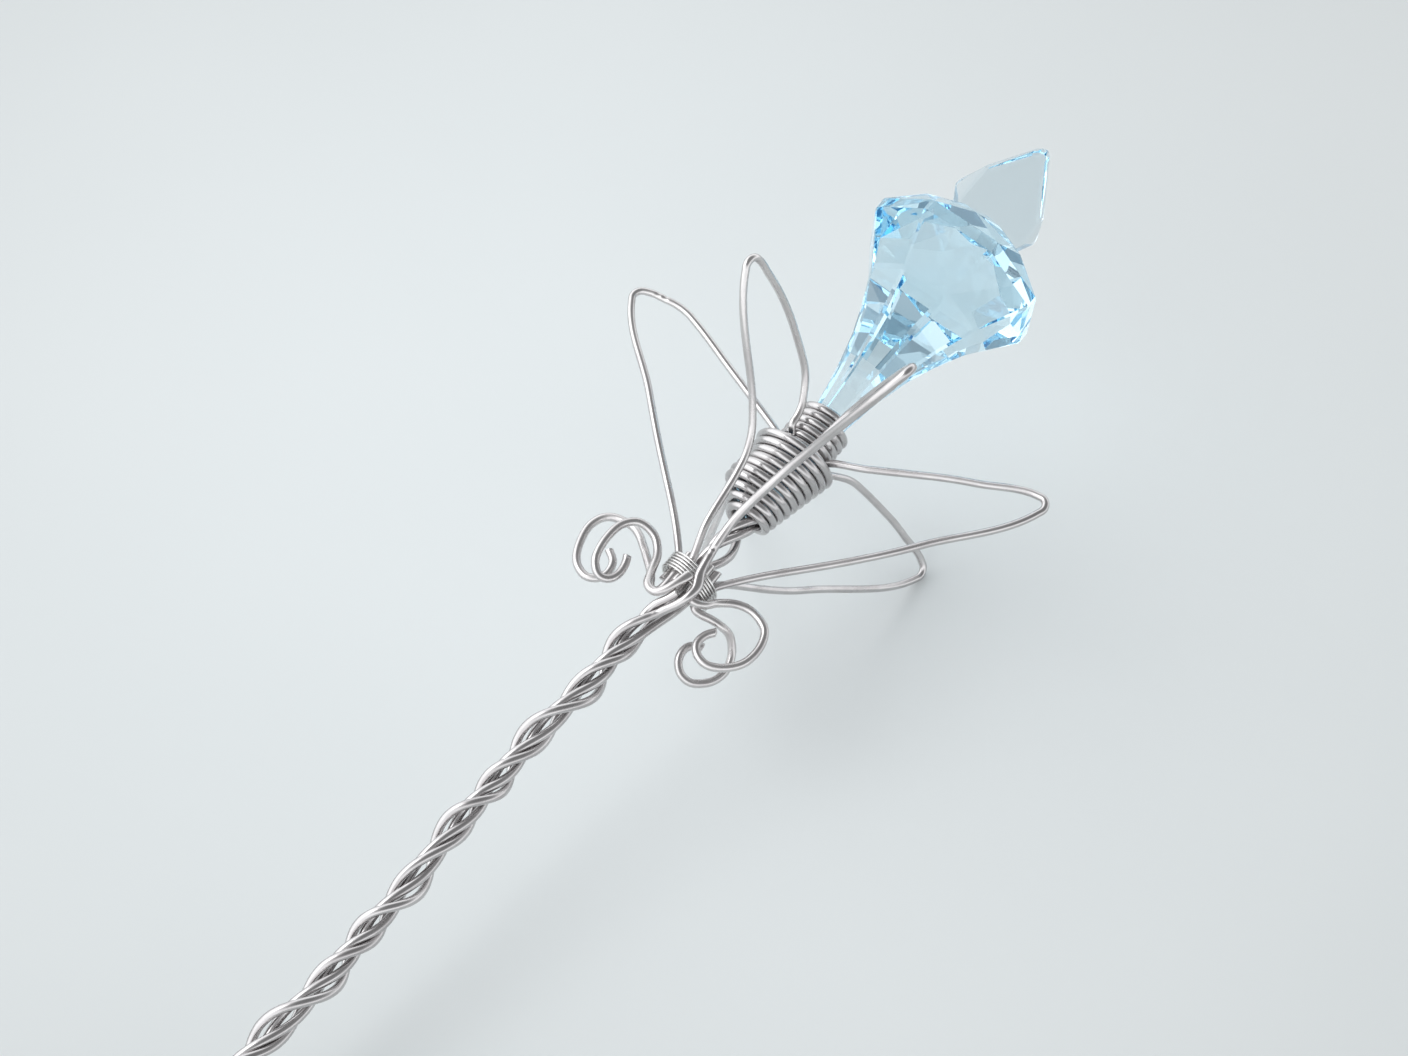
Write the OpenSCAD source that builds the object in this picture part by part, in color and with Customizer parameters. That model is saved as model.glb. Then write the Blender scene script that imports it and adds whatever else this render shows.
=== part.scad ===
// Wire-wrapped flower hair stick, in millimetres, +Z up, lying as it rests on a table.
// X runs along the stick towards the jewel. It rests on the tips of its two lower petals and
// on the tip of its shank, and the origin is on the table, under the middle of its outline.
//
// Wires are swept along bent paths. A flower point is [h, out, az]: h along the flower's axis
// from the junction, out from that axis, and az round it, where 0 is down and 90 is the +Y side.

/* [Wire] */
// Diameter of the shank, coil and scroll wire
wire_d = 1; // [0.8:0.05:1.1]
// Diameter of the petal wire
petal_wire_d = 0.9; // [0.7:0.05:1]
// Diameter of the fine wire of the binding
binding_wire_d = 0.35; // [0.25:0.05:0.4]

/* [Shank] */
// Length of the twisted shank from the junction to its tip
shank_len = 125; // [90:1:150]
// Outermost strand's distance from the middle, in wire diameters, where the twist is loosest
loose_r = 1.68; // [1.5:0.01:1.9]
// Outermost strand's distance from the middle, in wire diameters, where the twist is tightest
tight_r = 1.38; // [1.3:0.01:1.5]
// Mean length of one full turn of the twist
twist_pitch = 14.26; // [12:0.02:20]
// Share by which the twist tightens and loosens along the shank
twist_unevenness = 0.16; // [0:0.02:0.3]
// Length over which the twist loosens and tightens once
twist_wave = 22; // [18:1:60]

/* [Flower] */
// Sideways bend at the junction, between the shank and the flower's axis
flower_bend = 4.4; // [0:0.1:10]
// Height of the corner of the lower petals' tips along the axis
petal_rise = 26; // [24:0.1:28]
// Distance of that corner from the axis
petal_reach = 28; // [24:0.1:30]

/* [Coils] */
// Where the cone coil starts, along the flower's axis
cone_from = 9.5; // [9:0.1:10]
// Number of turns of the cone coil
cone_turns = 10.2; // [8:0.1:10.4]
// Radius of the cone coil's widest turn
cone_r = 4.6; // [4.4:0.1:5]
// Number of turns of the neck coil
neck_turns = 3.6; // [3:0.1:5]
// Number of turns of the fine binding wire
binding_turns = 6; // [4:1:8]

/* [Jewel] */
// Width of the jewel across its girdle
jewel_d = 23.6; // [22:0.1:25]
// Where the girdle lies, along the flower's axis
girdle_at = 50.6; // [50:0.1:52]
// Thickness of the flat tab at the jewel's end
tab_t = 3; // [2:0.1:4]

/* [Hidden] */

eps = 0.03;                               // air between wires that lie side by side
bundle_r = 1.15*wire_d + eps;             // strands pressed together, as at the junction
stem_r = bundle_r + wire_d + eps;         // petal legs and scroll stems, round the strands
binding_r = stem_r + wire_d/2 + binding_wire_d/2 + eps;
binding_pitch = binding_wire_d + eps;
binding_at = -0.3;                        // middle of the binding along the axis
full_az = 108;                            // side on which the coils are fuller
binding_lean = 0.6;
// Extra radius there of the binding and of the cone coil, at heights along the axis
binding_swell = [[-9, 1], [9, 1]];
cone_swell = [[10, 0], [11.7, 1.2], [13, 1.8], [14.5, 1.4], [16.5, 0.4], [20, 0.5]];
over_r = binding_r + binding_wire_d/2 + wire_d/2 + eps;  // wires that cross over the binding
coil_pitch = wire_d + eps;
cone_to = cone_from + cone_turns*coil_pitch;
cone_start_r = bundle_r + wire_d + eps;
neck_from = cone_to + 1.7*wire_d;
neck_r = 2.5;                             // jewel's neck where the neck coil grips it
tuck_r = cone_r - wire_d - petal_wire_d/2 - 0.3;
flats = 8;                                // sides of the jewel
jewel_roll = -15;                         // angle of the first ridge of the jewel
tab_roll = 21;                            // turn of the tab's flat face from upright
wire_sides = 8;

// Petals: corners [h, out, az, radius of the bend], from the leg that rises out of the binding,
// round the tip, to the leg that comes back to the top of the cone coil
petal_lower = [[petal_rise*0.35, petal_reach*0.42, 30.3, 40], [petal_rise, petal_reach, 30.3, 1.2],
               [25.8, 18, 30.3, 30], [24.1, 8.4, 30.3, 8]];
petal_left = [[14.5, 17, 97, 60], [26.6, 29.8, 94, 1.2], [27.9, 22.6, 94, 8], [24.3, 12.6, 93, 40]];
petal_right = [[15, 16.9, -96.5, 80], [31, 30.6, -96.8, 1.2], [26.4, 16.6, -97.5, 60],
               [22.5, 8, -97.5, 10]];
petal_top_left = [[5, 4.7, 157.8, 6], [15.6, 7, 157.8, 8], [27.1, 29.1, 157.8, 1.2],
                  [28.3, 18, 157.8, 30], [26.2, 8, 157.8, 6], [23.3, 4.6, 157.8, 4]];
petal_top_right = [[7, 5.6, -171, 10], [13, 11, -160, 20], [24.9, 30, -152.4, 1.2],
                   [27.2, 16, -150.5, 20], [25.4, 7.6, -148.5, 8]];

// Scrolls: points [h, out, az] from the binding, round the hairpin below it, to the cut end.
// The front left one crosses over the binding, and the others come out from under it.
curl_left_front = [[-0.6, over_r, -174], [-1.6, over_r, -179], [-2.6, over_r - 0.1, 174],
                   [-3.7, 3.4, 164], [-4.5, 3.5, 148], [-4.1, 4.2, 131], [-2.2, 4.6, 116],
                   [0, 5.3, 108], [1.6, 7, 106], [1.7, 9.2, 106], [0.1, 10.6, 106], [-2.4, 10.9, 106],
                   [-4.9, 10.4, 106], [-6.2, 9.1, 106], [-6, 7.8, 106], [-4.7, 7.2, 106],
                   [-3.2, 7.4, 106], [-2.2, 7.9, 106]];
curl_left_back = [[2.2, 2.6, 134], [0, 2.6, 134], [-2.2, 2.5, 132], [-3.7, 2.7, 122],
                  [-3.6, 3.6, 110], [-1.9, 4.8, 98], [1.3, 8.9, 90], [1.9, 11.4, 88],
                  [1.2, 13.6, 88], [-0.8, 14.5, 88], [-3.4, 14, 88], [-5.3, 12.9, 88],
                  [-6.2, 11.1, 88], [-5.7, 9.6, 88], [-4.5, 9, 88], [-3, 9.4, 88], [-2, 10.8, 88]];
curl_right_front = [[2.2, stem_r, -153], [0, stem_r, -153], [-1.9, stem_r, -151],
                    [-2.7, 3, -134], [-2, 3.6, -113], [-0.7, 4, -97], [0.6, 5.4, -87], [1, 7.4, -85],
                    [0.1, 9.7, -85], [-2, 10.6, -85], [-4.5, 10.3, -85], [-6.3, 8.9, -85],
                    [-7.2, 7.2, -85], [-6.9, 5.6, -85], [-5.8, 4.7, -85], [-4.4, 4.9, -85],
                    [-3.3, 5.7, -85]];
curl_right_back = [[2.2, stem_r, -123.5], [0, stem_r, -123.5], [-1.7, stem_r, -122],
                   [-2.9, 2.5, -110], [-3, 3.2, -97], [-2.6, 4.2, -86], [-2.3, 5.6, -78],
                   [-2.3, 7, -70], [-3.5, 8.5, -63], [-5.4, 9.1, -62], [-7.4, 8.6, -62], [-9, 7, -62],
                   [-9.1, 5.4, -62], [-8.1, 4.2, -62], [-6.7, 3.9, -62], [-5.7, 4.4, -62],
                   [-5, 5.5, -62]];

// Jewel's outline [height above the girdle, share of the girdle's radius]
jewel_outline = [[-36, 0.14], [-33, 0.165], [-24, 0.2], [-19, 0.27], [-14.5, 0.37], [-11, 0.48],
                 [-7, 0.65], [-3.5, 0.83], [-0.5, 1], [0.8, 1], [5.2, 0.56], [7, 0.3]];
tab_near = 3;                             // tab's buried end, then its wide part and its far end
tab_mid = 10.4;
tab_far = 20.4;
tab_half_w = 6.1;

function unit(v) = v/norm(v);
function ease(x) = let(c = min(max(x, 0), 1)) c*c*(3 - 2*c);
function flower_point(p) = [p[0], p[1]*sin(p[2]), -p[1]*cos(p[2])];
function raise(p, tilt) = [p[0]*cos(tilt) - p[2]*sin(tilt), p[1], p[0]*sin(tilt) + p[2]*cos(tilt)];
function swing(p, yaw) = [p[0]*cos(yaw) - p[1]*sin(yaw), p[0]*sin(yaw) + p[1]*cos(yaw), p[2]];

// Arc that rounds corner b of the path a, b, c to radius r, in n steps
function corner_arc(a, b, c, r, n) =
    let(u = unit(a - b), w = unit(c - b), half = acos(u*w)/2, o = b + unit(u + w)*r/sin(half),
        s = b + u*r/tan(half) - o, e = b + w*r/tan(half) - o, turn = 180 - 2*half)
    [for (i = [0:n]) o + (s*sin(turn*(n - i)/n) + e*sin(turn*i/n))/sin(turn)];

// Wire bent at each inner corner of pts to the radius of that corner
function bent(pts, radii, n) = concat(
    [pts[0]],
    [for (i = [1:len(pts) - 2]) each corner_arc(pts[i - 1], pts[i], pts[i + 1], radii[i], n)],
    [pts[len(pts) - 1]]);

// Smooth curve through pts, with n steps from one to the next
function smooth_at(a, b, c, d, t) =
    (2*b + (c - a)*t + (2*a - 5*b + 4*c - d)*t*t + (3*b - 3*c + d - a)*t*t*t)/2;
function smooth(pts, n) = let(last = len(pts) - 1) concat(
    [for (i = [0:last - 1], k = [0:n - 1])
        smooth_at(pts[max(i - 1, 0)], pts[i], pts[i + 1], pts[min(i + 2, last)], k/n)],
    [pts[last]]);

// Closed solid through rings of points, each ring with the same number of sides
module loft(points, sides) {
    last = len(points)/sides - 1;
    skin = [for (i = [0:last - 1], k = [0:sides - 1])
        let(a = i*sides + k, b = i*sides + (k + 1)%sides)
        each [[a, b + sides, b], [a, a + sides, b + sides]]];
    ends = [[for (k = [0:sides - 1]) k], [for (k = [sides - 1:-1:0]) last*sides + k]];
    polyhedron(points, concat(skin, ends), convexity = 10);
}

// Round wire of diameter d along path
module wire(path, d, sides = wire_sides) {
    last = len(path) - 1;
    along = [for (i = [0:last]) unit(path[min(i + 1, last)] - path[max(i - 1, 0)])];
    start = unit(cross(along[0], abs(along[0][2]) < 0.9 ? [0, 0, 1] : [0, 1, 0]));
    side = [for (i = 0, v = start; i <= last;
                 i = i + 1, v = i <= last ? unit(v - (v*along[i])*along[i]) : v) v];
    loft([for (i = [0:last], k = [0:sides - 1])
        path[i] + d/2*(cos(360*k/sides)*side[i] + sin(360*k/sides)*cross(along[i], side[i]))],
        sides);
}

// Petal's path: up from the root, round its corners, and down over the top turn of the cone
// coil to the end tucked inside it
function petal_path(corners, root) = let(
    tuck_az = corners[len(corners) - 1][2],
    all = concat(root, corners, [[cone_to + 1.25, cone_r - 0.2, tuck_az, 0.8],
                                 [cone_to + 0.65, tuck_r + 0.4, tuck_az, 0.5],
                                 [cone_to - 1.6, tuck_r, tuck_az, 0]]))
    bent([for (c = all) flower_point(c)], [for (c = all) c[3]], 4);
function root_at(az, out = stem_r, top = 1.8) = [[-2, out, az, 0], [top, out, az, 2.5]];

// Shank strands: s runs from the tip, -shank_len, up to the ends inside the cone coil.
// At the junction and at the tip they are pressed together as two pairs. In between the pairs
// loosen: one strand runs far out, and the others keep to their places in the cross-section.
strand_top = cone_to - 3;
strand_az = -3.6;
pairs = [[0, 1], [0, -1], [180, 1], [180, -1]];  // azimuth of each strand's pair, and its side
outer_az = 26.7;                          // outermost strand's azimuth
others = [[0, 0], [0.6, -0.45], [-1, -0.52], [-0.57, 0.48]];  // places of the other three
loose_at = -65.7;
straight = 3;                             // strands run straight for this length at the junction
run_out = 8.6;                              // and start to twist over this length
bow = 0.95;                               // sideways waves of the hand-straightened shank
bow_wave = 80;
bow_at = -43;
knee = 0.6;                               // and its small knee below the junction
knee_at = -9;
function wave(s) = (s - loose_at)*360/twist_wave;
function raw_turns(s) =
    s/twist_pitch - twist_unevenness*twist_wave/twist_pitch*sin(wave(s))/(2*PI);
function turn_rate(s) = s > 0 ? 1/14 : s > -straight ? 0
    : (1 - twist_unevenness*cos(wave(s)))/twist_pitch*min(1, (-s - straight)/run_out);
function turns_at(s) = let(s0 = -straight - run_out, u = min(s, -straight) - s0)
    s < s0 ? raw_turns(s) : raw_turns(s0) + turn_rate(s0)*(u - u*u/run_out/2) + max(s, 0)/14;
function cage_r(s) = bundle_r + (cone_r - cone_start_r)*max(s - cone_from, 0)/(cone_to - cone_from);
function strand_r(s) = s > 0 ? cage_r(s) : bundle_r;
function half_pair(s) =
    asin(min((wire_d/2 + eps)*sqrt(1 + pow(2*PI*strand_r(s)*turn_rate(s), 2))/strand_r(s), 0.75));
function sway(s) = bow*sin((s - bow_at)*360/bow_wave)*ease(-s/6)
    + knee*exp(-pow((s - knee_at)/4, 2));
function pressed(s, k) = let(az = pairs[k][0] + pairs[k][1]*half_pair(s))
    strand_r(s)*[cos(az), sin(az)];
function loosened(s, k) = wire_d*(k > 0 ? others[k]
    : (loose_r + tight_r + (loose_r - tight_r)*cos(wave(s)))/2*[cos(outer_az), sin(outer_az)]);
function place(s, k) =
    let(p = pressed(s, k), share = ease((-s - 0.4)/7)*ease((shank_len + s - 2)/7))
    p + (loosened(s, k) - p)*share;
function strand_point(s, k, lift) = let(p = place(s, k)) [0, sway(s), 0] + swing(
    flower_point([s, norm(p) + lift, strand_az + atan2(p[1], p[0]) + 360*turns_at(s)]),
    flower_bend*ease((s + 8)/14));
function leg(from, k, over) = let(n = round((from + shank_len)*0.83))
    [for (i = [0:n]) let(s = from - (from + shank_len - bundle_r)*i/n)
        strand_point(s, k, over*(over_r - bundle_r)*ease((s + 7)/5.4))];
function fold(a, b, bulge) = let(c = (a + b)/2)
    [for (k = [1:7]) c + (a - c)*cos(k*22.5) - [bundle_r*bulge*sin(k*22.5), 0, 0]];
function folded_wire(start, down, up, bulge) = concat(
    start, down, fold(down[len(down) - 1], up[len(up) - 1], bulge),
    [for (i = [len(up) - 1:-1:0]) up[i]]);

// One strand of the outer wire crosses over the binding and becomes a petal
outer_shank = folded_wire([], leg(-1.6, 0, 1), leg(strand_top, 2, 0), 1);
inner_wire = folded_wire([], leg(strand_top, 1, 0), leg(strand_top, 3, 0), 0.1);

// The tilt at which the lower petals and the tip of the shank touch the table together
function lowest(path, tilt, d) = min([for (p = path) raise(p, tilt)[2]]) - d/2;
lower_petal = petal_path(petal_lower, root_at(petal_lower[0][2]));
function lean(tilt) = lowest(lower_petal, tilt, petal_wire_d)
    - min(lowest(outer_shank, tilt, wire_d), lowest(inner_wire, tilt, wire_d));
function levelled(tilt, n) =
    n == 0 ? tilt : levelled(tilt - lean(tilt)/(shank_len + petal_rise)*180/PI, n - 1);
tilt = levelled(8.7, 6);
junction_z = -lowest(lower_petal, tilt, petal_wire_d);

// Middle of the outline on the table, seen from above
function laid(p) = swing(raise(p, tilt), flower_bend);
x_low = min([for (p = outer_shank) raise(p, tilt)[0]]) - wire_d/2;
x_high = laid([girdle_at + tab_far, 0, 0])[0] + tab_t/2*sin(tilt)/2;
left_petal = petal_path(petal_left, root_at(102, 3.02, 1.3));
right_petal = petal_path(petal_right, root_at(-98.5, stem_r, 0.6));
y_low = min([for (p = right_petal) laid(p)[1]]) - petal_wire_d/2;
y_high = max([for (p = left_petal) laid(p)[1]]) + petal_wire_d/2;
junction = [-(x_low + x_high)/2, -(y_low + y_high)/2, junction_z];

// Petal that continues the outer shank wire, from its tucked end down to the binding
function to_shank(p) = raise(swing(raise(p, tilt), flower_bend), -tilt);
upper_right_petal = petal_path(petal_top_right, [[0.2, over_r, -162, 0], [3, over_r + 0.4, -170, 3]]);
outer_wire = concat(
    [for (i = [len(upper_right_petal) - 1:-1:0]) to_shank(upper_right_petal[i])], outer_shank);

module on_flower() {
    translate(junction) rotate([0, 0, flower_bend]) rotate([0, -tilt, 0]) children();
}

module on_shank() {
    translate(junction) rotate([0, -tilt, 0]) children();
}

// Eight-sided drop lofted through jewel_outline, along X
module jewel_drop() {
    loft([for (p = jewel_outline, k = [0:flats - 1])
        flower_point([p[0], p[1]*jewel_d/2, jewel_roll + k*360/flats])], flats);
}

module jewel() {
    color([0.68, 0.85, 0.93, 0.5])
    on_flower() translate([girdle_at, 0, 0]) {
        jewel_drop();
        rotate([tab_roll, 0, 0])
        linear_extrude(tab_t, center = true)
        polygon([[tab_near, 2.5], [tab_mid, tab_half_w], [tab_far - 1, 1], [tab_far, 0],
                 [tab_far - 1, -1], [tab_mid, -tab_half_w], [tab_near, -2.5]]);
    }
}

module shank_wire_outer() {
    color([0.72, 0.71, 0.72]) on_shank() wire(outer_wire, wire_d);
}

module shank_wire_inner() {
    color([0.72, 0.71, 0.72]) on_shank() wire(inner_wire, wire_d);
}

// Coil from h = from at radius r0, with a pitch, to radius r1. On its fuller side it swells by
// the amounts in swell, and its turns lean up by lean.
module coil(from, turns, pitch, r0, r1, d, steps, sides, swell = [[0, 0], [1, 0]], lean = 0) {
    count = round(turns*steps);
    wire([for (i = [0:count])
        let(az = 360*i/steps, h = from + pitch*i/steps, c = cos(az - full_az),
            out = r0 + (r1 - r0)*i/count + lookup(h, swell)*pow(max(0, c), 2))
        flower_point([h + lean*c, out, az])], d, sides);
}

module cone_coil() {
    color([0.66, 0.66, 0.67])
    on_flower()
    coil(cone_from, cone_turns, coil_pitch, cone_start_r, cone_r, wire_d, 16, 8,
         swell = cone_swell);
}

module neck_coil() {
    color([0.66, 0.66, 0.67])
    on_flower()
    coil(neck_from, neck_turns, coil_pitch, neck_r + wire_d/2, neck_r + wire_d/2, wire_d, 16, 8);
}

module binding() {
    color([0.82, 0.81, 0.80])
    on_flower()
    coil(binding_at - binding_turns*binding_pitch/2, binding_turns, binding_pitch, binding_r, binding_r,
         binding_wire_d, 20, 6, swell = binding_swell, lean = binding_lean);
}

module petal(path) {
    color([0.72, 0.71, 0.72]) on_flower() wire(path, petal_wire_d);
}

module petal_lower_left() petal(lower_petal);
module petal_lower_right() {
    petal(petal_path([for (c = petal_lower) [c[0], c[1], -c[2], c[3]]], root_at(-petal_lower[0][2])));
}
module petal_side_left() petal(left_petal);
module petal_side_right() petal(right_petal);
module petal_upper_left() petal(petal_path(petal_top_left, root_at(157.8, 2.6, 1.2)));

module scroll(curl) {
    color([0.72, 0.71, 0.72])
    on_flower() wire(smooth([for (p = curl) flower_point(p)], 3), wire_d);
}

module scroll_left_front() scroll(curl_left_front);
module scroll_left_back() scroll(curl_left_back);
module scroll_right_front() scroll(curl_right_front);
module scroll_right_back() scroll(curl_right_back);

jewel();
shank_wire_outer();
shank_wire_inner();
cone_coil();
neck_coil();
binding();
petal_lower_left();
petal_lower_right();
petal_side_left();
petal_side_right();
petal_upper_left();
scroll_left_front();
scroll_left_back();
scroll_right_front();
scroll_right_back();
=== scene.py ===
"""Looks of a wire-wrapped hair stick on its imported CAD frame: satin wire and a clear faceted drop."""
import math

import bmesh
import bpy
import numpy as np
from mathutils import Matrix, Vector


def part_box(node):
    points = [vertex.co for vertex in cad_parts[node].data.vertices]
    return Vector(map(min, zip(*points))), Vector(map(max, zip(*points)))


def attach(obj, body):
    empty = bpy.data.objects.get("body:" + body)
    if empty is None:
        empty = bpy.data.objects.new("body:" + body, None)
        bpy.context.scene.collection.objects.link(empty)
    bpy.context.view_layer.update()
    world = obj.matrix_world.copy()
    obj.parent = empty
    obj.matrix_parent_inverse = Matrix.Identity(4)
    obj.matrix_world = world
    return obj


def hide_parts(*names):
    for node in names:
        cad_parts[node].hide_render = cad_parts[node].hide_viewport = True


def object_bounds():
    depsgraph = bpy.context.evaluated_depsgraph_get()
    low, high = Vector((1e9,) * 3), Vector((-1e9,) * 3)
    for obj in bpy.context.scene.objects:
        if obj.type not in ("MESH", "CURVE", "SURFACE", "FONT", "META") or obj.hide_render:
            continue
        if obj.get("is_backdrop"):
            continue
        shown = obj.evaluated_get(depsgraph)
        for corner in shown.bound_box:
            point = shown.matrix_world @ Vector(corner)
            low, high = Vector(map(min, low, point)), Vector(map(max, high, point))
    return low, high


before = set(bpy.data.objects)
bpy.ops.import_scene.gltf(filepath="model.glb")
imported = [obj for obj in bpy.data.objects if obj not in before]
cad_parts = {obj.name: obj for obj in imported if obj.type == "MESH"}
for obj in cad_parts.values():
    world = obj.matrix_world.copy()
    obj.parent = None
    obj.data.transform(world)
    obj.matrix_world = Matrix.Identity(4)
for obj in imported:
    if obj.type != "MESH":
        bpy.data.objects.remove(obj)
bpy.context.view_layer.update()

MM = 0.001
TOUCHING = 0.0002 * MM                    # CAD vertices closer than this are one
NICK_REACH = 0.16 * MM
TIP_RISE = 0.02 * MM                      # how far the middle of a cut end stands out
RNG = np.random.default_rng(11)


# ---------------------------------------------------------------- the frame's own wires

def merged(node):
    """Mesh of a CAD node, with the vertices that lie on each other joined."""
    bm = bmesh.new()
    bm.from_mesh(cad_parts[node].data)
    bmesh.ops.remove_doubles(bm, verts=bm.verts, dist=TOUCHING)
    return bm


def end_cap(bm, sides):
    """The vertices of a flat round end, which alone is a regular polygon of that many sides."""
    seen = set()
    for first in bm.faces:
        if first in seen:
            continue
        group, todo = {first}, [first]
        while todo:
            face = todo.pop()
            for edge in face.edges:
                for other in edge.link_faces:
                    if other not in group and other.normal.dot(first.normal) > 0.99999:
                        group.add(other)
                        todo.append(other)
        seen |= group
        verts = {v for face in group for v in face.verts}
        behind = {e.other_vert(v) for v in verts for e in v.link_edges} - verts
        if len(verts) == len(behind) == sides and len(group) == sides - 2:
            return verts
    raise ValueError("no round end")


def rings(node, sides):
    """The rings of vertices of a swept CAD wire, in order from one of its ends."""
    bm = merged(node)
    ring = end_cap(bm, sides)
    found, seen = [], set()
    while ring:
        found.append(np.array([v.co[:] for v in ring]))
        seen |= ring
        ring = {e.other_vert(v) for v in ring for e in v.link_edges} - seen
        if ring and len(ring) != sides:
            break
    bm.free()
    return found


def centre_line(node, near, sides=8):
    """Middle line of a swept CAD wire, starting at the end that is nearer to a point, and its radius."""
    found = rings(node, sides)
    line = np.array([ring.mean(axis=0) for ring in found])
    if np.linalg.norm(line[-1] - near) < np.linalg.norm(line[0] - near):
        line = line[::-1]
    return line, np.linalg.norm(found[0] - found[0].mean(axis=0), axis=1).mean()


def distance_along(line):
    """Distance of each point of a line from its first one, along the line."""
    return np.concatenate([[0], np.cumsum(np.linalg.norm(np.diff(line, axis=0), axis=1))])


def resampled(line, step):
    """The same route as a smooth curve, with a point about every step."""
    gaps = np.linalg.norm(np.diff(line, axis=0), axis=1)
    slope = np.diff(line, axis=0) / gaps[:, None]
    before, after = gaps[:-1, None], gaps[1:, None]
    tangent = np.empty_like(line)
    tangent[1:-1] = (slope[:-1] * after + slope[1:] * before) / (before + after)
    tangent[0], tangent[-1] = slope[0], slope[-1]
    points = []
    for i, gap in enumerate(gaps):
        count = max(1, round(gap / step))
        for t in np.arange(count) / count:
            points.append((1 + 2 * t) * (1 - t) ** 2 * line[i] + t * (1 - t) ** 2 * gap * tangent[i]
                          + t * t * (3 - 2 * t) * line[i + 1] - t * t * (1 - t) * gap * tangent[i + 1])
    return np.array(points + [line[-1]])


def smooth_noise(along, wave, size):
    """Seeded noise of about that size along a wire, which changes over about one wave."""
    knots = np.arange(0, along[-1] + 3 * wave, wave)
    values = RNG.normal(0, size, len(knots))
    x = along / wave
    i = np.minimum(x.astype(int), len(knots) - 2)
    t = x - i
    t = t * t * (3 - 2 * t)
    return values[i] * (1 - t) + values[i + 1] * t


# ---------------------------------------------------------------- wire pieces

def new_object(name, verts, faces, uv=None, smooth=True):
    """A mesh object in the scene, with a UV map named wire where UVs are given."""
    mesh = bpy.data.meshes.new(name)
    mesh.from_pydata([tuple(v) for v in verts], [], faces)
    mesh.polygons.foreach_set("use_smooth", [smooth] * len(mesh.polygons))
    if uv is not None:
        layer = mesh.uv_layers.new(name="wire")
        layer.data.foreach_set("uv", np.array(uv, dtype=np.float32).ravel())
    mesh.update()
    obj = bpy.data.objects.new(name, mesh)
    bpy.context.scene.collection.objects.link(obj)
    return obj


def steady_frame(path):
    """Tangents of a path, and two directions across it that don't spin as it turns."""
    tangent = np.gradient(path, axis=0)
    tangent /= np.linalg.norm(tangent, axis=1)[:, None]
    side = np.empty_like(path)
    start = np.cross(tangent[0], [0, 0, 1] if abs(tangent[0][2]) < 0.9 else [0, 1, 0])
    for i, direction in enumerate(tangent):
        start = start - direction * np.dot(start, direction)
        start /= np.linalg.norm(start)
        side[i] = start
    return tangent, side, np.cross(tangent, side)


def flattened(offset, centre, direction, press):
    """A ring's offsets from its centre, flattened away from the junction and widened across by a share."""
    outward = centre - JUNCTION
    outward = outward - direction * np.dot(outward, direction)
    outward /= np.linalg.norm(outward)
    across = np.cross(direction, outward)
    return offset + press * (np.outer(offset @ across, across) - np.outer(offset @ outward, outward))


def wire_piece(name, line, radius, material, slot_name, sides=18, step=0.3 * MM, cut=0.3,
               wobble=0.0, nicks=(), squeeze=()):
    """A round wire along a line, with hand-made waviness, ends cut to a wedge, nicks of the pliers
    (distance along, depth as a share of the radius), and pressed places (distance, reach, share)."""
    path = resampled(line, step)
    along = distance_along(path)
    if wobble:
        hold = np.minimum(1, np.minimum(along, along[-1] - along) / (4 * MM))
        sway = np.stack([smooth_noise(along, 7 * MM, wobble) for _ in range(3)], axis=1)
        path = path + sway * hold[:, None]
    tangent, side, other = steady_frame(path)
    thick = radius * (1 + smooth_noise(along, 3 * MM, 0.006))
    angles = np.arange(sides) * 2 * math.pi / sides
    round_shape = np.stack([np.cos(angles), np.sin(angles)], axis=1)
    verts = []
    for i, centre in enumerate(path):
        shape = round_shape * thick[i]
        offset = shape[:, :1] * side[i] + shape[:, 1:] * other[i]
        for place, depth in nicks:
            notch = depth * math.exp(-((along[i] - place) / NICK_REACH) ** 2)
            offset = offset * (1 - notch * np.maximum(0, offset[:, 2:] / thick[i]))
        for place, extent, share in squeeze:
            press = share * math.exp(-((along[i] - place) / extent) ** 2)
            offset = flattened(offset, centre, tangent[i], press)
        ring = centre + offset
        if i in (0, len(path) - 1):
            sign = -1 if i == 0 else 1
            ring = ring - sign * tangent[i] * (1 + round_shape[:, :1]) * cut * radius
        verts.extend(ring)
    count = len(path)
    faces, uv = [], []
    girth = 2 * math.pi * radius
    for i in range(count - 1):
        for k in range(sides):
            n = (k + 1) % sides
            faces.append((i * sides + k, i * sides + n, (i + 1) * sides + n, (i + 1) * sides + k))
            uv += [(along[i], k / sides * girth), (along[i], (k + 1) / sides * girth),
                   (along[i + 1], (k + 1) / sides * girth), (along[i + 1], k / sides * girth)]
    for i, sign in ((0, -1), (count - 1, 1)):
        tip = len(verts)
        verts.append(path[i] + sign * tangent[i] * TIP_RISE)
        for k in range(sides):
            a, b = i * sides + k, i * sides + (k + 1) % sides
            faces.append((tip, b, a) if sign < 0 else (tip, a, b))
            uv += [(along[i], 0), (along[i] + radius, 0), (along[i], radius)]
    obj = new_object(name, verts, faces, uv)
    sharp = obj.data.attributes.new("sharp_face", "BOOLEAN", "FACE")
    sharp.data.foreach_set("value", [len(p.vertices) == 3 for p in obj.data.polygons])
    obj.data.materials.append(material)
    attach(obj, "root")
    return obj


# ---------------------------------------------------------------- materials

def node_material(name):
    """A new material, its nodes and links, and its Principled shader."""
    material = bpy.data.materials.new(name)
    material.use_nodes = True
    nodes, links = material.node_tree.nodes, material.node_tree.links
    return material, nodes, links, nodes["Principled BSDF"]


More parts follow.
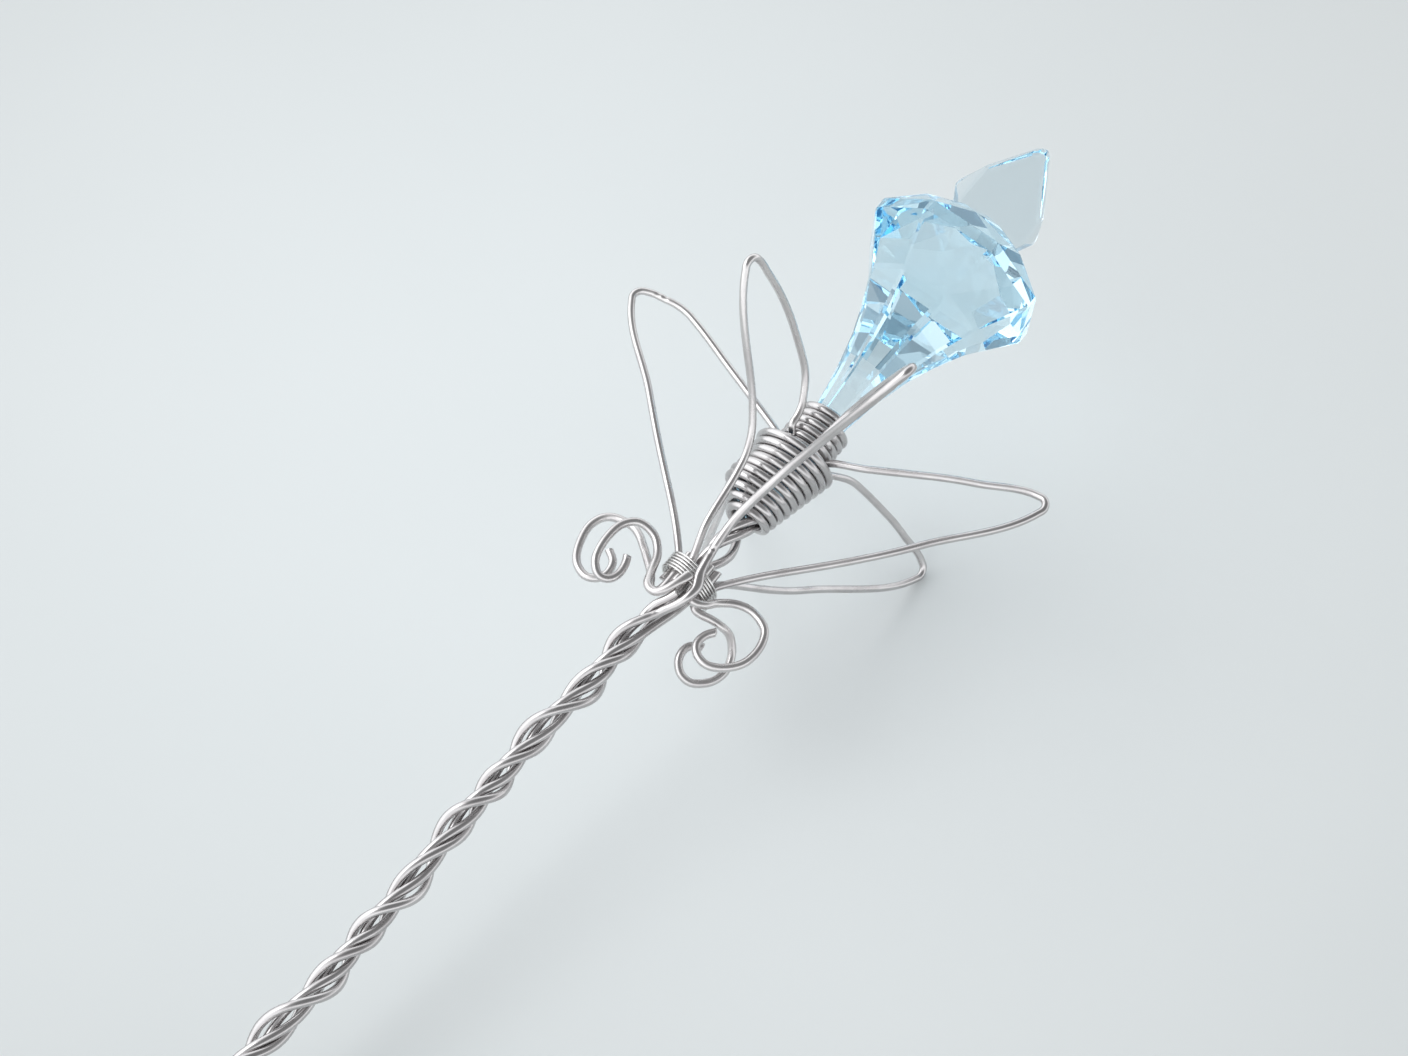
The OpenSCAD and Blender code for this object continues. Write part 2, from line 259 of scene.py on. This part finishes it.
def drawn_wire(name, colour, dark, roughness, line_depth):
    """Drawn aluminium wire: die lines along it, cloudy handling wear, and a satin shine.
    The UV map is in metres, so the scales of the noise are per metre, along and round the wire."""
    material, nodes, links, shader = node_material(name)
    place = nodes.new("ShaderNodeUVMap")
    place.uv_map = "wire"
    stretch = nodes.new("ShaderNodeMapping")
    stretch.inputs["Scale"].default_value = (350, 9000, 1)
    links.new(place.outputs["UV"], stretch.inputs["Vector"])
    lines = nodes.new("ShaderNodeTexNoise")
    lines.inputs["Scale"].default_value = 1
    lines.inputs["Detail"].default_value = 3
    links.new(stretch.outputs["Vector"], lines.inputs["Vector"])
    clouds_at = nodes.new("ShaderNodeMapping")
    clouds_at.inputs["Scale"].default_value = (260, 700, 1)
    links.new(place.outputs["UV"], clouds_at.inputs["Vector"])
    clouds = nodes.new("ShaderNodeTexNoise")
    clouds.inputs["Scale"].default_value = 1
    clouds.inputs["Detail"].default_value = 4
    links.new(clouds_at.outputs["Vector"], clouds.inputs["Vector"])
    tint = nodes.new("ShaderNodeValToRGB")
    tint.color_ramp.elements[0].position = 0.3
    tint.color_ramp.elements[0].color = (*dark, 1)
    tint.color_ramp.elements[1].position = 0.6
    tint.color_ramp.elements[1].color = (*colour, 1)
    links.new(clouds.outputs["Fac"], tint.inputs["Fac"])
    links.new(tint.outputs["Color"], shader.inputs["Base Color"])
    rough = nodes.new("ShaderNodeMapRange")
    rough.inputs["From Min"].default_value = 0.3
    rough.inputs["From Max"].default_value = 0.7
    rough.inputs["To Min"].default_value = roughness + 0.06
    rough.inputs["To Max"].default_value = roughness - 0.05
    links.new(clouds.outputs["Fac"], rough.inputs["Value"])
    links.new(rough.outputs["Result"], shader.inputs["Roughness"])
    bump = nodes.new("ShaderNodeBump")
    bump.inputs["Strength"].default_value = 0.6
    bump.inputs["Distance"].default_value = line_depth
    links.new(lines.outputs["Fac"], bump.inputs["Height"])
    links.new(bump.outputs["Normal"], shader.inputs["Normal"])
    shader.inputs["Metallic"].default_value = 1
    return material


def acrylic(name):
    """Clear cast acrylic, tinted in its depth, with a very faint blue glow painted in: painted light, as
    the drop is no lamp.
    """
    material, nodes, links, shader = node_material(name)
    shader.inputs["Base Color"].default_value = (0.82, 0.84, 0.83, 1)
    # painted light: a faint blue glow, though the drop gives no light of its own
    shader.inputs["Emission Color"].default_value = (0.02, 0.42, 0.85, 1)
    shader.inputs["Emission Strength"].default_value = 0.035
    shader.inputs["Transmission Weight"].default_value = 1
    shader.inputs["IOR"].default_value = 1.49
    shader.inputs["Roughness"].default_value = 0.0
    depth = nodes.new("ShaderNodeVolumeAbsorption")
    depth.inputs["Color"].default_value = (0.20, 0.77, 0.98, 1)
    depth.inputs["Density"].default_value = 18
    links.new(depth.outputs["Volume"], nodes["Material Output"].inputs["Volume"])
    return material


WIRE = drawn_wire("satin_wire", (0.58, 0.56, 0.56), (0.46, 0.44, 0.44), 0.24, 1.2e-6)
LIGHT_WIRE = drawn_wire("petal_wire", (0.66, 0.64, 0.635), (0.54, 0.515, 0.515), 0.27, 1.2e-6)
COIL = drawn_wire("coil_wire", (0.56, 0.545, 0.545), (0.45, 0.435, 0.435), 0.26, 1.2e-6)
FINE = drawn_wire("binding_wire", (0.68, 0.67, 0.66), (0.56, 0.55, 0.54), 0.18, 0.5e-6)
CLEAR = acrylic("aqua_acrylic")


# ---------------------------------------------------------------- the wires

low, high = (np.array(corner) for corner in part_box("binding"))
JUNCTION = (low + high) / 2
PETALS = ("petal_lower_left", "petal_lower_right", "petal_side_left", "petal_side_right",
          "petal_upper_left")
SCROLLS = ("scroll_left_front", "scroll_left_back", "scroll_right_front", "scroll_right_back")
# The petals on the right, away from the key light, get the darker satin wire: painted shade.
SHADED_RIGHT_PETALS = ("petal_side_right", "petal_lower_right")
# Nicks of the pliers: place in mm along the wire, and depth as a share of its radius. On the shank's
# wires the place is counted from where the wire crosses the binding.
NICKS = {"shank_wire_outer": ((3.2, 0.35), (3.9, 0.3), (-6.2, 0.25)),
         "petal_side_left": ((42.8, 0.3), (41.9, 0.2)),
         "petal_lower_right": ((45.2, 0.3),),
         "scroll_right_back": ((3.1, 0.3),)}
# Places where another wire presses: place as above, reach in mm, and how much flatter, as a share
PRESSED = {"scroll_left_front": ((0.3, 1.3, 0.2),),
           "shank_wire_outer": ((-0.3, 1.4, 0.24),)}
HAND_WOBBLE = 0.03 * MM
STRAND_SHARE = 1.04                       # the shank's wires look this much fuller than the CAD ones
LOOSE_END_SHARE = 0.9
COIL_POINTS = 16                          # points in each turn of a CAD coil
NECK_TURNS_ADDED = 1.9


def wound_on(line, turns):
    """A coil's middle line with more turns before its first point, wound the same way about its axis."""
    n = COIL_POINTS
    pitch = (line[n:2 * n] - line[:n]).mean(axis=0)
    added = [line[-k % n] - pitch * math.ceil(k / n) for k in range(round(turns * n), 0, -1)]
    return np.array(added + list(line))


def crossing(line):
    """Distance along a wire to where it passes the junction for the last time."""
    along = distance_along(line)
    late = along > along[-1] / 2
    return along[late][np.linalg.norm(line[late] - JUNCTION, axis=1).argmin()]


def loose_end(line, over):
    """Middle line of the short wire end on the shank: it follows the leg that crosses the binding, and
    comes out from under it to lie beside it."""
    near, far, way_out = 2.6, 8.6, 3.4    # mm back from the crossing, and the mm it takes to come out
    path = resampled(line, 0.3 * MM)
    back = (over - distance_along(path)) / MM
    part = (back > near) & (back < far)
    path, back = path[part], back[part]
    out = np.sin(np.clip((far - back) / way_out, 0, 1) * math.pi / 2)
    return path + np.outer(out, [0, 1.15 * MM, 0.25 * MM]) - np.outer(1 - out, [0, 0, 0.25 * MM])


def marks(node, start=0.0):
    """Nicks and pressed places of a wire, as distances along it."""
    nicks = [(start + place * MM, depth) for place, depth in NICKS.get(node, ())]
    squeeze = [(start + place * MM, reach * MM, share) for place, reach, share in PRESSED.get(node, ())]
    return {"nicks": nicks, "squeeze": squeeze}


for node in PETALS + SCROLLS:
    line, radius = centre_line(node, JUNCTION)
    # the darker wire on the right-hand petals is painted shade
    material = WIRE if node in SHADED_RIGHT_PETALS else LIGHT_WIRE
    piece = wire_piece(node + "_wire", line, radius, material, "wire", wobble=HAND_WOBBLE, **marks(node))
    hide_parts(node)

for node in ("shank_wire_outer", "shank_wire_inner"):
    line, radius = centre_line(node, JUNCTION)
    over = crossing(line)
    piece = wire_piece(node + "_strands", line, radius * STRAND_SHARE, WIRE, "wire", **marks(node, over))
    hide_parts(node)
    if node == "shank_wire_outer":
        short = loose_end(line, over)
        wire_piece("loose_end_wire", short, radius * LOOSE_END_SHARE, LIGHT_WIRE, "wire")

for node, sides, material, slot_name, step, share in (
        ("cone_coil", 8, COIL, "coil_wire", 0.25, 1.02),
        ("neck_coil", 8, COIL, "coil_wire", 0.25, 1.02),
        ("binding", 6, FINE, "binding_wire", 0.15, 0.80)):
    line, radius = centre_line(node, JUNCTION, sides)
    if node == "neck_coil":
        line = wound_on(line, NECK_TURNS_ADDED)
    piece = wire_piece(node + "_turns", line, radius * share, material, slot_name, step=step * MM)
    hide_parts(node)


# ---------------------------------------------------------------- the jewel

FLATS = 8
LOWER_RINGS = 9                           # the CAD drop's rings below its crown, at most
GIRDLE_AT = 0.5 * MM                      # middle of the girdle above the CAD ring at its lower edge


def jewel_frame():
    """Middle of the drop's girdle, its axis, its lowest ridge's direction, and the girdle's radius."""
    found = rings("jewel", FLATS)
    widest = max(found[:LOWER_RINGS],
                 key=lambda ring: np.linalg.norm(ring - ring.mean(axis=0), axis=1).mean())
    middle = widest.mean(axis=0)
    axis = middle - found[0].mean(axis=0)
    axis /= np.linalg.norm(axis)
    ridge = widest[widest[:, 2].argmin()] - middle
    radius = np.linalg.norm(ridge)
    return middle + axis * GIRDLE_AT, axis, ridge / radius, radius


GIRDLE, AXIS, RIDGE, GIRDLE_R = jewel_frame()
ACROSS = np.cross(AXIS, RIDGE)


def jewel_point(height, out, degrees):
    """Point at a height in mm above the girdle, at a distance from the axis, at an angle from the ridge."""
    a = math.radians(degrees)
    return GIRDLE + AXIS * height * MM + (RIDGE * math.cos(a) + ACROSS * math.sin(a)) * out


def level(height, share, half=0.0, shift=0.0):
    """Ring of points of the drop, at a height in mm and a share of the girdle's radius: one per ridge, or
    two that far in degrees on each side of it where the ridges are bevelled. A shift is in ridges."""
    signs = (-1, 1) if half else (0,)
    return [jewel_point(height, share * GIRDLE_R, (k + shift) * 45 + s * half)
            for k in range(FLATS) for s in signs]


def closed_mesh(name, verts, faces, material):
    """A flat-faced object whose faces all look outward."""
    obj = new_object(name, verts, faces, smooth=False)
    bm = bmesh.new()
    bm.from_mesh(obj.data)
    bmesh.ops.recalc_face_normals(bm, faces=bm.faces)
    bm.to_mesh(obj.data)
    bm.free()
    obj.data.materials.append(material)
    return obj


def drop_piece():
    """The drop: a fluted neck, a plain broad body, a girdle band and a crown of kites and triangles."""
    neck = [level(-36, 0.137, 7), level(-33, 0.162, 7), level(-24, 0.198, 6), level(-19, 0.268, 5),
            level(-14.5, 0.368, 4), level(-11, 0.478, 3)]
    body = [level(-6.9, 0.640, 2.0), level(-6.3, 0.672, 1.2),
            level(-0.7, 0.996, 1.2), level(0.8, 0.996, 1.2)]
    verts = [p for ring in neck + body for p in ring]
    n = 2 * FLATS
    rows = len(neck) + len(body)
    faces = [tuple(range(n))]
    for i in range(rows - 1):
        faces += [(i * n + k, i * n + (k + 1) % n, (i + 1) * n + (k + 1) % n, (i + 1) * n + k)
                  for k in range(n)]
    edge = [(rows - 1) * n + k for k in range(n)]
    first = len(verts)
    verts += level(3.3, 0.80, shift=0.5)
    second = len(verts)
    verts += level(5.3, 0.55)
    third = len(verts)
    verts += level(6.9, 0.30, shift=0.5)
    for k in range(FLATS):
        after = (k + 1) % FLATS
        before = (k - 1) % FLATS
        left, right = edge[2 * k], edge[2 * k + 1]
        faces.append((left, right, first + k))
        faces.append((left, first + k, first + before))
        faces.append((right, edge[2 * after], first + k))
        faces.append((first + before, first + k, second + k))
        faces.append((second + k, first + k, third + k))
        faces.append((first + k, second + after, third + k))
        faces.append((second + k, third + k, third + before))
    faces.append(tuple(third + k for k in range(FLATS)))
    return closed_mesh("faceted_drop", verts, faces, CLEAR)


TAB_NORMAL = -144                         # degrees from the ridge to the tab's face and to its left corner
TAB_ACROSS = 126
TAB_RIM = 1.15                            # half thickness in mm at the rim and between the bevels
TAB_FACE = 1.45


def tab_piece():
    """The flat rhombic tab: bevelled edges, a rounded far corner, and a cut facet at each side corner,
    where the rim's front is lower. Heights, widths and lifts are in mm."""
    a, b = math.radians(TAB_ACROSS), math.radians(TAB_NORMAL)
    across = RIDGE * math.cos(a) + ACROSS * math.sin(a)
    normal = RIDGE * math.cos(b) + ACROSS * math.sin(b)

    def at(height, sideways, lift):
        return GIRDLE + (AXIS * height + across * sideways + normal * lift) * MM

    rim = TAB_RIM
    edge = [(2.6, 2.2, rim), (7.4, 4.85, rim), (10.0, 6.3, -1.1), (10.8, 6.2, -1.1), (13.3, 4.8, rim),
            (19.3, 1.5, rim), (19.9, 0.9, rim), (20.1, 0.3, rim), (19.8, -0.3, rim), (12.6, -4.5, rim),
            (10.9, -5.5, -0.9), (10.2, -5.5, -0.9), (8.4, -4.7, rim), (2.6, -2.2, rim)]
    points = []
    for height, sideways, lift in edge:
        inner_height, inner_sideways = height * 0.985, sideways * 0.92
        points += [at(height, sideways, -rim), at(height, sideways, lift)]
        points.append(at(inner_height, inner_sideways, -TAB_FACE))
        if lift == rim:
            points.append(at(inner_height, inner_sideways, TAB_FACE))
    obj = closed_mesh("drop_tab", points, [], CLEAR)
    bm = bmesh.new()
    bm.from_mesh(obj.data)
    bmesh.ops.convex_hull(bm, input=bm.verts)
    bmesh.ops.dissolve_limit(bm, angle_limit=0.002, verts=bm.verts, edges=bm.edges)
    bmesh.ops.recalc_face_normals(bm, faces=bm.faces)
    bm.to_mesh(obj.data)
    bm.free()
    return obj


def joined(body, other):
    """One closed piece from two that overlap."""
    union = body.modifiers.new("join", "BOOLEAN")
    union.operation = "UNION"
    union.object = other
    union.solver = "EXACT"
    bpy.context.view_layer.update()
    result = body.evaluated_get(bpy.context.evaluated_depsgraph_get())
    mesh = bpy.data.meshes.new_from_object(result)
    body.modifiers.clear()
    body.data = mesh
    bpy.data.objects.remove(other)
    return body


drop = joined(drop_piece(), tab_piece())
drop.visible_shadow = False               # clear: the light goes through it
drop.data.polygons.foreach_set("use_smooth", [False] * len(drop.data.polygons))
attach(drop, "root")
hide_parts("jewel")


# ---------------------------------------------------------------- floor, light and camera

EYE = Vector((-0.192375, -0.128327, 0.272031))     # from the jewel's girdle to the camera
FLOOR_HALF = 3                                     # metres
# Sockets of the Mix node when it mixes colours
MIX_A, MIX_B, MIX_RESULT = 6, 7, 2


def cloth_white(name):
    """Pale backdrop cloth, with broad faint clouds, and painted shade that makes it a little darker away
    from the jewel, as if a pool of light lay round it.
    """
    material, nodes, links, shader = node_material(name)
    place = nodes.new("ShaderNodeTexCoord")
    clouds = nodes.new("ShaderNodeTexNoise")
    clouds.inputs["Scale"].default_value = 9
    clouds.inputs["Detail"].default_value = 2
    links.new(place.outputs["Object"], clouds.inputs["Vector"])
    tint = nodes.new("ShaderNodeValToRGB")
    tint.color_ramp.elements[0].position = 0.3
    tint.color_ramp.elements[0].color = (0.765, 0.80, 0.805, 1)
    tint.color_ramp.elements[1].position = 0.7
    tint.color_ramp.elements[1].color = (0.80, 0.832, 0.836, 1)
    links.new(clouds.outputs["Fac"], tint.inputs["Fac"])
    away = nodes.new("ShaderNodeVectorMath")
    away.operation = "DISTANCE"
    away.inputs[1].default_value = (0.045, 0.030, 0)
    links.new(place.outputs["Object"], away.inputs[0])
    fade = nodes.new("ShaderNodeMapRange")
    fade.interpolation_type = "SMOOTHSTEP"
    fade.inputs["From Min"].default_value = 0.01
    fade.inputs["From Max"].default_value = 0.15
    links.new(away.outputs["Value"], fade.inputs["Value"])
    # painted shade: the cloth is darkened away from the jewel, a painted pool of light
    painted_pool_shade = nodes.new("ShaderNodeMix")
    painted_pool_shade.data_type = "RGBA"
    painted_pool_shade.blend_type = "MULTIPLY"
    painted_pool_shade.inputs[MIX_B].default_value = (0.84, 0.835, 0.83, 1)
    links.new(fade.outputs["Result"], painted_pool_shade.inputs["Factor"])
    links.new(tint.outputs["Color"], painted_pool_shade.inputs[MIX_A])
    links.new(painted_pool_shade.outputs[MIX_RESULT], shader.inputs["Base Color"])
    shader.inputs["Roughness"].default_value = 0.9
    shader.inputs["Specular IOR Level"].default_value = 0.1
    return material


corners = [(x * FLOOR_HALF, y * FLOOR_HALF, 0) for x, y in ((-1, -1), (1, -1), (1, 1), (-1, 1))]
floor = new_object("floor", corners, [(0, 1, 2, 3)])
floor.data.materials.append(cloth_white("floor_cloth"))
floor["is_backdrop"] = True


def from_side(azimuth, elevation, distance):
    """Point at a distance from the origin, at an azimuth and an elevation in degrees."""
    a, e = math.radians(azimuth), math.radians(elevation)
    return Vector((math.cos(e) * math.cos(a), math.cos(e) * math.sin(a), math.sin(e))) * distance


def soft_light(name, place, size, power, colour):
    """A round area lamp aimed at the junction."""
    data = bpy.data.lights.new(name, "AREA")
    data.shape = "DISK"
    data.size = size
    data.energy = power
    data.color = colour
    lamp = bpy.data.objects.new(name, data)
    lamp.location = place
    lamp.rotation_euler = (Vector(JUNCTION) - place).to_track_quat("-Z", "Y").to_euler()
    bpy.context.scene.collection.objects.link(lamp)


def towards(nodes, links, place, direction, inner, outer):
    """1 in a soft patch of the surroundings about a direction, and 0 outside it. Inner and outer are
    the cosines where the patch starts to fade and where it has gone."""
    facing = nodes.new("ShaderNodeVectorMath")
    facing.operation = "DOT_PRODUCT"
    facing.inputs[1].default_value = direction
    links.new(place.outputs["Generated"], facing.inputs[0])
    patch = nodes.new("ShaderNodeMapRange")
    patch.interpolation_type = "SMOOTHSTEP"
    patch.inputs["From Min"].default_value = outer
    patch.inputs["From Max"].default_value = inner
    links.new(facing.outputs["Value"], patch.inputs["Value"])
    return patch.outputs["Result"]


def studio_world(room_level, room):
    """A pale room, lighter on the lamp's side, with a wide dark patch overhead that darkens the middle
    of each wire. Each patch is a direction, its two cosines, and what it adds to the room's level."""
    world = bpy.data.worlds.new("studio")
    bpy.context.scene.world = world
    world.use_nodes = True
    nodes, links = world.node_tree.nodes, world.node_tree.links
    place = nodes.new("ShaderNodeTexCoord")
    total = None
    for direction, inner, outer, strength in room:
        patch = towards(nodes, links, place, direction, inner, outer)
        amount = nodes.new("ShaderNodeMath")
        amount.operation = "MULTIPLY_ADD"
        links.new(patch, amount.inputs[0])
        amount.inputs[1].default_value = strength
        amount.inputs[2].default_value = room_level
        if total is not None:
            links.new(total, amount.inputs[2])
        total = amount.outputs[0]
    background = nodes["Background"]
    background.inputs["Color"].default_value = (0.96, 0.982, 1.0, 1)
    links.new(total, background.inputs["Strength"])


ROOM_LEVEL = 1.50
ROOM = ((from_side(125, 25, 1), 0.95, 0.40, 0.42),
        (from_side(-60, 12, 1), 0.95, 0.5, 0.05),
        (from_side(-50, 70, 1), 0.86, 0.40, -1.22))
soft_light("key", from_side(122, 50, 0.85), size=0.5, power=1.3, colour=(1, 1, 1))
studio_world(ROOM_LEVEL, ROOM)

LOOK_AZIMUTH, LOOK_DOWN, ROLL = (math.radians(v) for v in (40.85, 54.84, 1.02))
camera_data = bpy.data.cameras.new("camera")
camera_data.sensor_width = 36
camera_data.lens = 76.49
camera_data.clip_start = 0.01
camera = bpy.data.objects.new("camera", camera_data)
ahead = Vector((math.cos(LOOK_AZIMUTH), math.sin(LOOK_AZIMUTH), 0))
toward = ahead * math.cos(LOOK_DOWN) - Vector((0, 0, math.sin(LOOK_DOWN)))
sideways = Vector((math.sin(LOOK_AZIMUTH), -math.cos(LOOK_AZIMUTH), 0))
upright = sideways.cross(toward)
right = sideways * math.cos(ROLL) + upright * math.sin(ROLL)
up = right.cross(toward)
turn = Matrix((right, up, -toward)).transposed()
camera.matrix_world = Matrix.Translation(Vector(GIRDLE) + EYE) @ turn.to_4x4()
bpy.context.scene.collection.objects.link(camera)
bpy.context.scene.camera = camera
bpy.context.scene.view_settings.view_transform = "Standard"
bpy.context.scene.cycles.max_bounces = 24
bpy.context.scene.cycles.transmission_bounces = 24
bpy.context.scene.cycles.glossy_bounces = 12

low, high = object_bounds()
